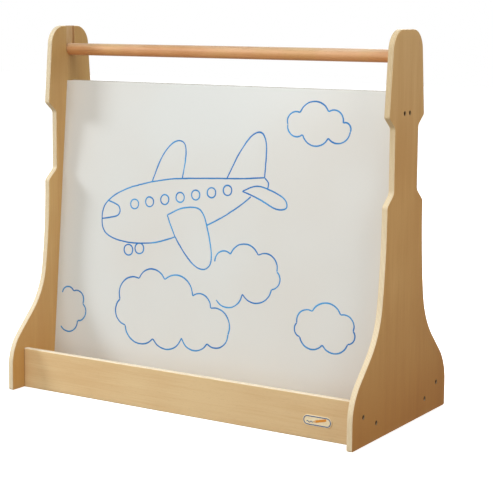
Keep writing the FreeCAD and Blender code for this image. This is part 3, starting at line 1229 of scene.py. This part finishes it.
@dataclass
class MarkerDrawing:
    """A simple aeroplane among clouds, drawn on the front board with a blue marker.

    Places on the board are in millimetres: X as in the model, and distance down the board from
    its top edge.
    """

    line_width: float = 3.3
    ink_height: float = 0.09
    sunk: float = 0.03
    step: float = 1.6
    waver: float = 1.4
    arc_points: int = 7
    ring_points: int = 14
    overlap: float = 1.04
    window_radius: float = 10.0
    wheel_radius: float = 11.0
    middle: Point = (-82.0, 252.0)
    climb: float = 11.0

    def board_matrix(self) -> Matrix:
        """Find where the drawing plane lies.

        Returns:
            The move from board coordinates, metres with Z out of the board, to the model's frame.
        """
        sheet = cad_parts[f"writing_sheet_{Face.FRONT.label}"]
        corners = [vertex.co for vertex in sheet.data.vertices]
        top = max(corners, key=lambda corner: corner.z)
        foot = min(corners, key=lambda corner: corner.y)
        lean = math.atan2(top.y - foot.y, top.z - foot.z)
        up = Vector((0.0, math.sin(lean), math.cos(lean)))
        out = Vector((0.0, -math.cos(lean), math.sin(lean)))
        turn = Matrix((Vector((1, 0, 0)), up, out)).transposed().to_4x4()
        return Matrix.Translation((0.0, top.y, top.z)) @ turn

    def cloud(self, cusps: list[Point], bulge: float, closed: bool = True) -> list[list[Point]]:
        """Draw a cloud as a chain of round bumps.

        Args:
            cusps: The points where bumps meet, clockwise as seen.
            bulge: Height of a bump as a share of its width.
            closed: Whether the last cusp joins the first.

        Returns:
            One stroke for each bump.
        """
        ends = cusps[1:] + cusps[:1] if closed else cusps[1:]
        return [self.bump(start, end, bulge) for start, end in zip(cusps, ends)]

    def bump(self, start: Point, end: Point, bulge: float) -> list[Point]:
        """Draw one round arc that stands out to the left of its way.

        Args:
            start: First point.
            end: Last point.
            bulge: Height of the arc as a share of its width.

        Returns:
            Points on the arc.
        """
        begin, finish = Vector(start), Vector(end)
        chord = finish - begin
        side = Vector((chord.y, -chord.x)).normalized()
        half_angle = 2 * math.atan(2 * bulge)
        radius = chord.length / 2 / math.sin(half_angle)
        centre = (begin + finish) / 2 - side * radius * math.cos(half_angle)
        along = chord.normalized()
        stroke = []
        for place in range(self.arc_points):
            angle = half_angle * (2 * place / (self.arc_points - 1) - 1)
            spot = centre + side * radius * math.cos(angle) + along * radius * math.sin(angle)
            stroke.append((spot.x, spot.y))
        return stroke

    def clouds(self) -> list[list[Point]]:
        """Draw all the clouds.

        Returns:
            Their strokes.
        """
        upper = [(156, 70), (182, 46), (244, 42), (276, 62), (292, 78), (246, 92), (190, 88)]
        large = [(-222, 450), (-176, 402), (-112, 398), (-42, 424), (2, 444), (46, 492), (-2, 516)]
        large += [(-64, 512), (-134, 522), (-206, 502)]
        lower = [(200, 450), (232, 424), (294, 424), (322, 452), (312, 478), (258, 486), (208, 476)]
        behind = [(6, 350), (42, 332), (106, 328), (150, 356), (140, 392), (74, 408), (14, 426)]
        half_seen = [(-374, 452), (-344, 446), (-318, 470), (-330, 508), (-374, 524)]
        return (
            self.cloud(upper, 0.33)
            + self.cloud(large, 0.32)
            + self.cloud(lower, 0.31)
            + self.cloud(behind, 0.33, closed=False)
            + self.cloud(half_seen, 0.36, closed=False)
        )

    def aeroplane(self) -> list[list[Point]]:
        """Draw a plain aeroplane: body, cockpit, round windows, wings, tail and wheels.

        Returns:
            Its strokes.
        """
        body = [(204, 38), (150, 43), (70, 54), (-30, 64), (-126, 58), (-184, 35), (-200, -4)]
        body += [(-188, -32), (-140, -52), (-76, -60), (-20, -54)]
        tailplane = [(150, 18), (186, -2), (220, -25), (244, -27), (242, -8), (208, 15), (180, 24)]
        wing = [(-34, -8), (-18, -60), (14, -112), (42, -126), (60, -108), (60, -56), (48, -8)]
        wing += [(8, 2)]
        shapes = [
            body,
            [(57, -40), (104, -25), (148, -6), (168, 5)],
            [(207, 14), (211, 26), (204, 38)],
            [(-178, 40), (-152, 24), (-158, 6), (-200, 4)],
            [(-62, 64), (-32, 110), (0, 136), (24, 134), (28, 110), (12, 60)],
            [(118, 48), (152, 92), (184, 122), (208, 126), (216, 100), (204, 38)],
            tailplane + tailplane[:1],
            wing + wing[:1],
        ]
        windows = [self.ring((u, 24), self.window_radius) for u in range(-112, 120, 38)]
        wheels = [self.ring((u, -68), self.wheel_radius) for u in (-140, -112)]
        return [[self.tilted(spot) for spot in shape] for shape in shapes] + windows + wheels

    def tilted(self, spot: Point) -> Point:
        """Move a point from the aeroplane's own axes to the board.

        Args:
            spot: Distance along the aeroplane and above its middle.

        Returns:
            The place on the board.
        """
        lean = math.radians(self.climb)
        u, v = spot
        across = self.middle[0] + u * math.cos(lean) - v * math.sin(lean)
        return (across, self.middle[1] - u * math.sin(lean) - v * math.cos(lean))

    def ring(self, spot: Point, radius: float) -> list[Point]:
        """Draw a circle on the aeroplane in one stroke that overlaps itself a little.

        Args:
            spot: Its middle, in the aeroplane's own axes.
            radius: Its radius.

        Returns:
            The stroke, on the board.
        """
        x, down = self.tilted(spot)
        last = self.ring_points - 1
        turns = [math.tau * place / last * self.overlap for place in range(self.ring_points)]
        return [(x + radius * math.cos(turn), down + radius * math.sin(turn)) for turn in turns]

    def recipe(self, finish: bpy.types.Material) -> Recipe:
        """Make the tree that turns edge chains into flat round-ended pen strokes.

        Args:
            finish: The ink.

        Returns:
            The tree.
        """
        pen = Recipe("pen_strokes")
        width, height, step, waver = (
            pen.size(name) for name in ("Line Width", "Ink Height", "Step", "Waver")
        )
        curve = pen.add("GeometryNodeMeshToCurve", {"Mesh": pen.start})
        curve = pen.add("GeometryNodeCurveSplineType", {"Curve": curve}, spline_type="CATMULL_ROM")
        curve = pen.add(
            "GeometryNodeResampleCurve", {"Curve": curve, "Length": step}, mode="LENGTH"
        )
        curve = pen.add("GeometryNodeSetCurveNormal", {"Curve": curve}, mode="Z_UP")
        place = pen.add("GeometryNodeInputPosition", {})
        shake = pen.add(
            "ShaderNodeTexNoise", {"Vector": place, "Scale": 55.0, "Detail": 2.0}, output="Color"
        )
        shake = pen.vector("SUBTRACT", shake, (0.5, 0.5, 0.5))
        shake = pen.add("ShaderNodeVectorMath", {0: shake, "Scale": waver}, operation="SCALE")
        flat_shake = pen.vector("MULTIPLY", shake, (1.0, 1.0, 0.0))
        curve = pen.add("GeometryNodeSetPosition", {"Geometry": curve, "Offset": flat_shake})
        press = pen.add("ShaderNodeTexNoise", {"Vector": place, "Scale": 38.0, "Detail": 2.0})
        press = pen.calc("MULTIPLY_ADD", press, 0.7, 0.65)
        tips = pen.add("GeometryNodeCurveEndpointSelection", {})
        press = pen.calc("MULTIPLY", press, pen.calc("MULTIPLY_ADD", tips, -0.45, 1.0))
        outline = pen.add(
            "GeometryNodeCurvePrimitiveCircle", {"Resolution": 10, "Radius": 0.5}, mode="RADIUS"
        )
        squash = pen.add("ShaderNodeCombineXYZ", {0: width, 1: height, 2: 1.0})
        outline = pen.add("GeometryNodeTransform", {"Geometry": outline, "Scale": squash})
        stroke = {"Curve": curve, "Profile Curve": outline, "Scale": press, "Fill Caps": True}
        ribbon = pen.add("GeometryNodeCurveToMesh", stroke)
        ribbon = pen.add("GeometryNodeSetShadeSmooth", {"Geometry": ribbon})
        pen.close(ribbon, finish)
        return pen

    def build(self) -> None:
        """Draw the strokes on the front board."""
        strokes = self.aeroplane() + self.clouds()
        chains = [[Vector((x * MM, -down * MM, 0.0)) for x, down in stroke] for stroke in strokes]
        sizes = {
            "Line Width": self.line_width * MM,
            "Ink Height": 2 * (self.ink_height + self.sunk) * MM,
            "Step": self.step * MM,
            "Waver": self.waver * MM,
        }
        piece = self.recipe(MarkerInk().build()).run(
            polylines("strokes", chains), "marker_drawing", sizes
        )
        piece.data.transform(self.board_matrix() @ Matrix.Translation((0.0, 0.0, -self.sunk * MM)))
        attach(piece, FRAME_BODY)
        log.info(
            "built marker_drawing: %d strokes, %d faces", len(strokes), len(piece.data.polygons)
        )


@dataclass
class NamePlate:
    """The plate on the front fence: a rim round a plain pencil and a pencil line, in low relief."""

    rise: float = 0.30
    sunk: float = 0.10
    rim_inset: float = 1.3
    rim_width: float = 1.7
    corner_steps: int = 12
    squiggle_width: float = 1.5
    squiggle_start: Point = (-22.0, -2.6)
    squiggle_length: float = 12.5
    squiggle_swing: float = 1.1
    squiggle_waves: float = 1.6
    squiggle_steps: int = 60
    pencil_tilt: float = 14.0
    pencil_middle: Point = (4.0, 0.8)

    def outline(self, half_length: float, half_height: float) -> list[Point]:
        """Trace a shape with fully round ends.

        Args:
            half_length: Half its length.
            half_height: Half its height, which is also the radius of its ends.

        Returns:
            Its points, anticlockwise.
        """
        straight = half_length - half_height
        points = []
        for end, first in ((1, -math.pi / 2), (-1, math.pi / 2)):
            for step in range(self.corner_steps + 1):
                angle = first + math.pi * step / self.corner_steps
                points.append(
                    (end * straight + half_height * math.cos(angle), half_height * math.sin(angle))
                )
        return points

    def raised(
        self,
        name: str,
        outer: list[Point],
        finish: bpy.types.Material,
        inner: list[Point] | None = None,
    ) -> None:
        """Raise a flat shape, or a band between two outlines, from the plate.

        Args:
            name: Name of the piece.
            outer: Its outline, anticlockwise, in millimetres from the plate's middle.
            finish: Its material.
            inner: The inner outline of a band, with as many points.
        """
        low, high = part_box("name_plate")
        middle = (low + high) / 2
        count = len(outer)
        points = []
        for y in (low.y - self.rise * MM, low.y + self.sunk * MM):
            for loop in (outer, inner or []):
                points.extend(Vector((middle.x + x * MM, y, middle.z + z * MM)) for x, z in loop)
        deep = count * (2 if inner else 1)
        faces: list[tuple[int, ...]] = []
        for here in range(count):
            after = (here + 1) % count
            faces.append((after, here, here + deep, after + deep))
            if inner:
                faces.append((here, after, after + count, here + count))
                faces.append((after + deep, here + deep, here + count + deep, after + count + deep))
                faces.append(
                    (here + count, after + count, after + count + deep, here + count + deep)
                )
        if not inner:
            faces.append(tuple(range(count)))
            faces.append(tuple(reversed(range(deep, deep + count))))
        mesh = bpy.data.meshes.new(name)
        mesh.from_pydata(points, [], faces)
        mesh.validate()
        shape = bmesh.new()
        shape.from_mesh(mesh)
        bmesh.ops.recalc_face_normals(shape, faces=shape.faces)
        shape.to_mesh(mesh)
        shape.free()
        mesh.materials.append(finish)
        piece = stand(name, mesh)
        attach(piece, FRAME_BODY)
        log.info("built %s: %d faces", name, len(mesh.polygons))

    def build(self) -> None:
        """Dress the plate and raise the emblem."""
        cream = PlateEnamel("cream_enamel", rgb(240, 226, 192), rgb(232, 214, 176))
        blue = PlateEnamel("slate_blue_enamel", rgb(62, 98, 146), rgb(52, 84, 130)).build()
        ochre = PlateEnamel("ochre_enamel", rgb(226, 150, 52), rgb(212, 134, 44)).build()
        bare = PlateEnamel("bare_wood_enamel", rgb(222, 178, 124), rgb(206, 160, 106), 0.35).build()
        graphite = PlateEnamel("graphite_enamel", rgb(70, 66, 64), rgb(54, 52, 52), 0.4).build()
        dress("name_plate", cream.build())
        low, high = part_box("name_plate")
        half_length, half_height = (high.x - low.x) / 2 / MM, (high.z - low.z) / 2 / MM
        outer, width = self.rim_inset, self.rim_inset + self.rim_width
        self.raised(
            "plate_rim",
            self.outline(half_length - outer, half_height - outer),
            blue,
            self.outline(half_length - width, half_height - width),
        )
        lean = math.radians(self.pencil_tilt)
        along, above = self.pencil_middle
        shapes = {
            "pencil_body": (
                [(-7.0, -2.3), (14.5, -2.3), (15.5, -1.3), (15.5, 1.3), (14.5, 2.3), (-7.0, 2.3)],
                ochre,
            ),
            "pencil_cone": ([(-12.0, -0.8), (-7.5, -2.3), (-7.5, 2.3), (-12.0, 0.8)], bare),
            "pencil_lead": ([(-14.6, 0.0), (-12.3, -0.8), (-12.3, 0.8)], graphite),
        }
        for name, (points, finish) in shapes.items():
            turned = [
                (
                    x * math.cos(lean) - z * math.sin(lean) + along,
                    x * math.sin(lean) + z * math.cos(lean) + above,
                )
                for x, z in points
            ]
            self.raised(name, turned, finish)
        x, z = self.squiggle_start
        steps = self.squiggle_steps
        middle_line = [
            (
                x + self.squiggle_length * n / steps,
                z + self.squiggle_swing * math.sin(self.squiggle_waves * math.tau * n / steps),
            )
            for n in range(steps + 1)
        ]
        half = self.squiggle_width / 2
        under = [(x, z - half) for x, z in middle_line]
        over = [(x, z + half) for x, z in reversed(middle_line)]
        self.raised("pencil_line", under + over, blue)


# --- Studio ---


@dataclass
class Softbox:
    """A square studio light."""

    name: str
    place: tuple[float, float, float]
    target: tuple[float, float, float]
    size: float
    power: float
    colour: Tint = NO_TINT

    def build(self) -> None:
        """Hang the light."""
        lamp = bpy.data.lights.new(self.name, "AREA")
        lamp.shape = "SQUARE"
        lamp.size = self.size
        lamp.energy = self.power
        lamp.color = self.colour
        holder = stand(self.name, lamp)
        holder.location = self.place
        aim = Vector(self.target) - Vector(self.place)
        holder.rotation_euler = aim.to_track_quat("-Z", "Y").to_euler()


@dataclass
class Studio:
    """A bright white floor, soft lights and the camera."""

    floor_half: float = 12.0
    azimuth: float = 33.157
    elevation: float = 7.244
    roll: float = 0.228
    camera_place: tuple[float, float, float] = (1.58027, -2.49684, 0.780705)
    lens: float = 108.29
    sensor: float = 36.0
    shift: tuple[float, float] = (0.0889, -0.0944)
    sky: float = 0.19
    ground: Colour = (0.440, 0.370, 0.285, 1.0)

    def build(self) -> None:
        """Set up the floor, the world, the lights and the camera."""
        bpy.context.scene.view_settings.view_transform = "Standard"
        self.lay_floor()
        self.surround()
        for lamp in self.lights():
            lamp.build()
        self.place_camera()

    def lights(self) -> list[Softbox]:
        """The lamps of the studio.

        Returns:
            The lamps, not yet hung.
        """
        middle = (0.0, 0.0, 0.38)
        return [
            Softbox(
                "key_left", (-5.1, -2.49, 2.67), (-0.3, -0.02, 0.4), 1.38, 190.0, (0.95, 1.0, 1.05)
            ),
            Softbox("front_fill", (-0.8, -3.2, 2.0), middle, 2.4, 38.0, (0.99, 1.0, 0.99)),
            Softbox("front_low", (0.4, -3.1, 0.4), (0.1, 0.0, 0.2), 1.4, 15.0, (1.0, 0.99, 0.96)),
            Softbox("top_fill", (0.1, -0.4, 3.0), middle, 1.6, 28.0, (0.98, 1.0, 1.04)),
            Softbox("right_high", (2.2, -0.6, 2.4), middle, 1.2, 19.0, (0.98, 1.0, 1.03)),
            Softbox("back_high", (-0.3, 2.6, 2.2), middle, 1.6, 66.0),
            Softbox("right_front", (2.6, -2.6, 1.6), middle, 2.0, 8.0, (1.0, 0.98, 0.95)),
            Softbox("right_side", (3.3, -1.2, 1.3), middle, 1.8, 17.0, (1.0, 0.98, 0.95)),
        ]

    def lay_floor(self) -> None:
        """Lay a white floor."""
        half = self.floor_half
        corners = [(-half, -half, 0.0), (half, -half, 0.0), (half, half, 0.0), (-half, half, 0.0)]
        mesh = bpy.data.meshes.new("studio_floor")
        mesh.from_pydata([Vector(corner) for corner in corners], [], [(0, 1, 2, 3)])
        floor = stand("studio_floor", mesh)
        white = Surface("floor_white")
        tint = white.blend(white.noise(white.place, 1.5), rgb(250, 250, 249), rgb(253, 253, 253))
        flat = white.vector("MULTIPLY", white.place, (1.0, 1.0, 0.0))
        distance = white.add("ShaderNodeVectorMath", {0: flat}, "Value", operation="LENGTH")
        glow = white.spread(distance, 0.6, 1.6, 0.55, 1.0)
        white.finish(
            Base_Color=tint,
            Roughness=0.9,
            Emission_Color=(1.0, 1.0, 1.0, 1.0),
            Emission_Strength=glow,
        )
        mesh.materials.append(white.material)
        floor.visible_diffuse = False
        floor.visible_glossy = False

    def surround(self) -> None:
        """Light the scene from all round, with white behind everything."""
        world = bpy.data.worlds.new("studio")
        bpy.context.scene.world = world
        world.use_nodes = True
        sky = Graph(world.node_tree)
        world.node_tree.nodes.clear()
        height = sky.split(sky.add("ShaderNodeTexCoord", {}, output="Generated"))[Axis.Z]
        share = sky.spread(height, -0.25, 0.25)
        soft = sky.blend(share, self.ground, (self.sky, self.sky, self.sky, 1.0))
        seen = sky.add("ShaderNodeLightPath", {}, output="Is Camera Ray")
        colour = sky.blend(seen, soft, (1.0, 1.0, 1.0, 1.0))
        shine = sky.add("ShaderNodeBackground", {"Color": colour})
        leave = world.node_tree.nodes.new("ShaderNodeOutputWorld")
        world.node_tree.links.new(shine, leave.inputs["Surface"])

    def place_camera(self) -> None:
        """Put the camera in place."""
        lens = bpy.data.cameras.new("camera")
        lens.lens = self.lens
        lens.sensor_width = self.sensor
        lens.shift_x, lens.shift_y = self.shift
        camera = stand("camera", lens)
        azimuth, elevation, roll = (
            math.radians(a) for a in (self.azimuth, self.elevation, self.roll)
        )
        back = Vector(
            (
                math.sin(azimuth) * math.cos(elevation),
                -math.cos(azimuth) * math.cos(elevation),
                math.sin(elevation),
            )
        )
        right = (-back).cross(Vector((0, 0, 1))).normalized()
        up = right.cross(-back)
        rolled_right = right * math.cos(roll) + up * math.sin(roll)
        rolled_up = up * math.cos(roll) - right * math.sin(roll)
        turn = Matrix((rolled_right, rolled_up, back)).transposed().to_4x4()
        camera.matrix_world = Matrix.Translation(self.camera_place) @ turn
        bpy.context.scene.camera = camera


def main() -> None:
    """Build the studio and dress or build every piece."""
    logging.basicConfig(level=logging.INFO, format="%(name)s: %(message)s")
    Studio().build()
    for assembly in (
        SidePanels(), Tray(), Boards(), PaperRod(), Screws(), Pins(), MarkerDrawing(), NamePlate()
    ):
        assembly.build()
        log.info("%s done", type(assembly).__name__)


if __name__ == "__main__":
    main()
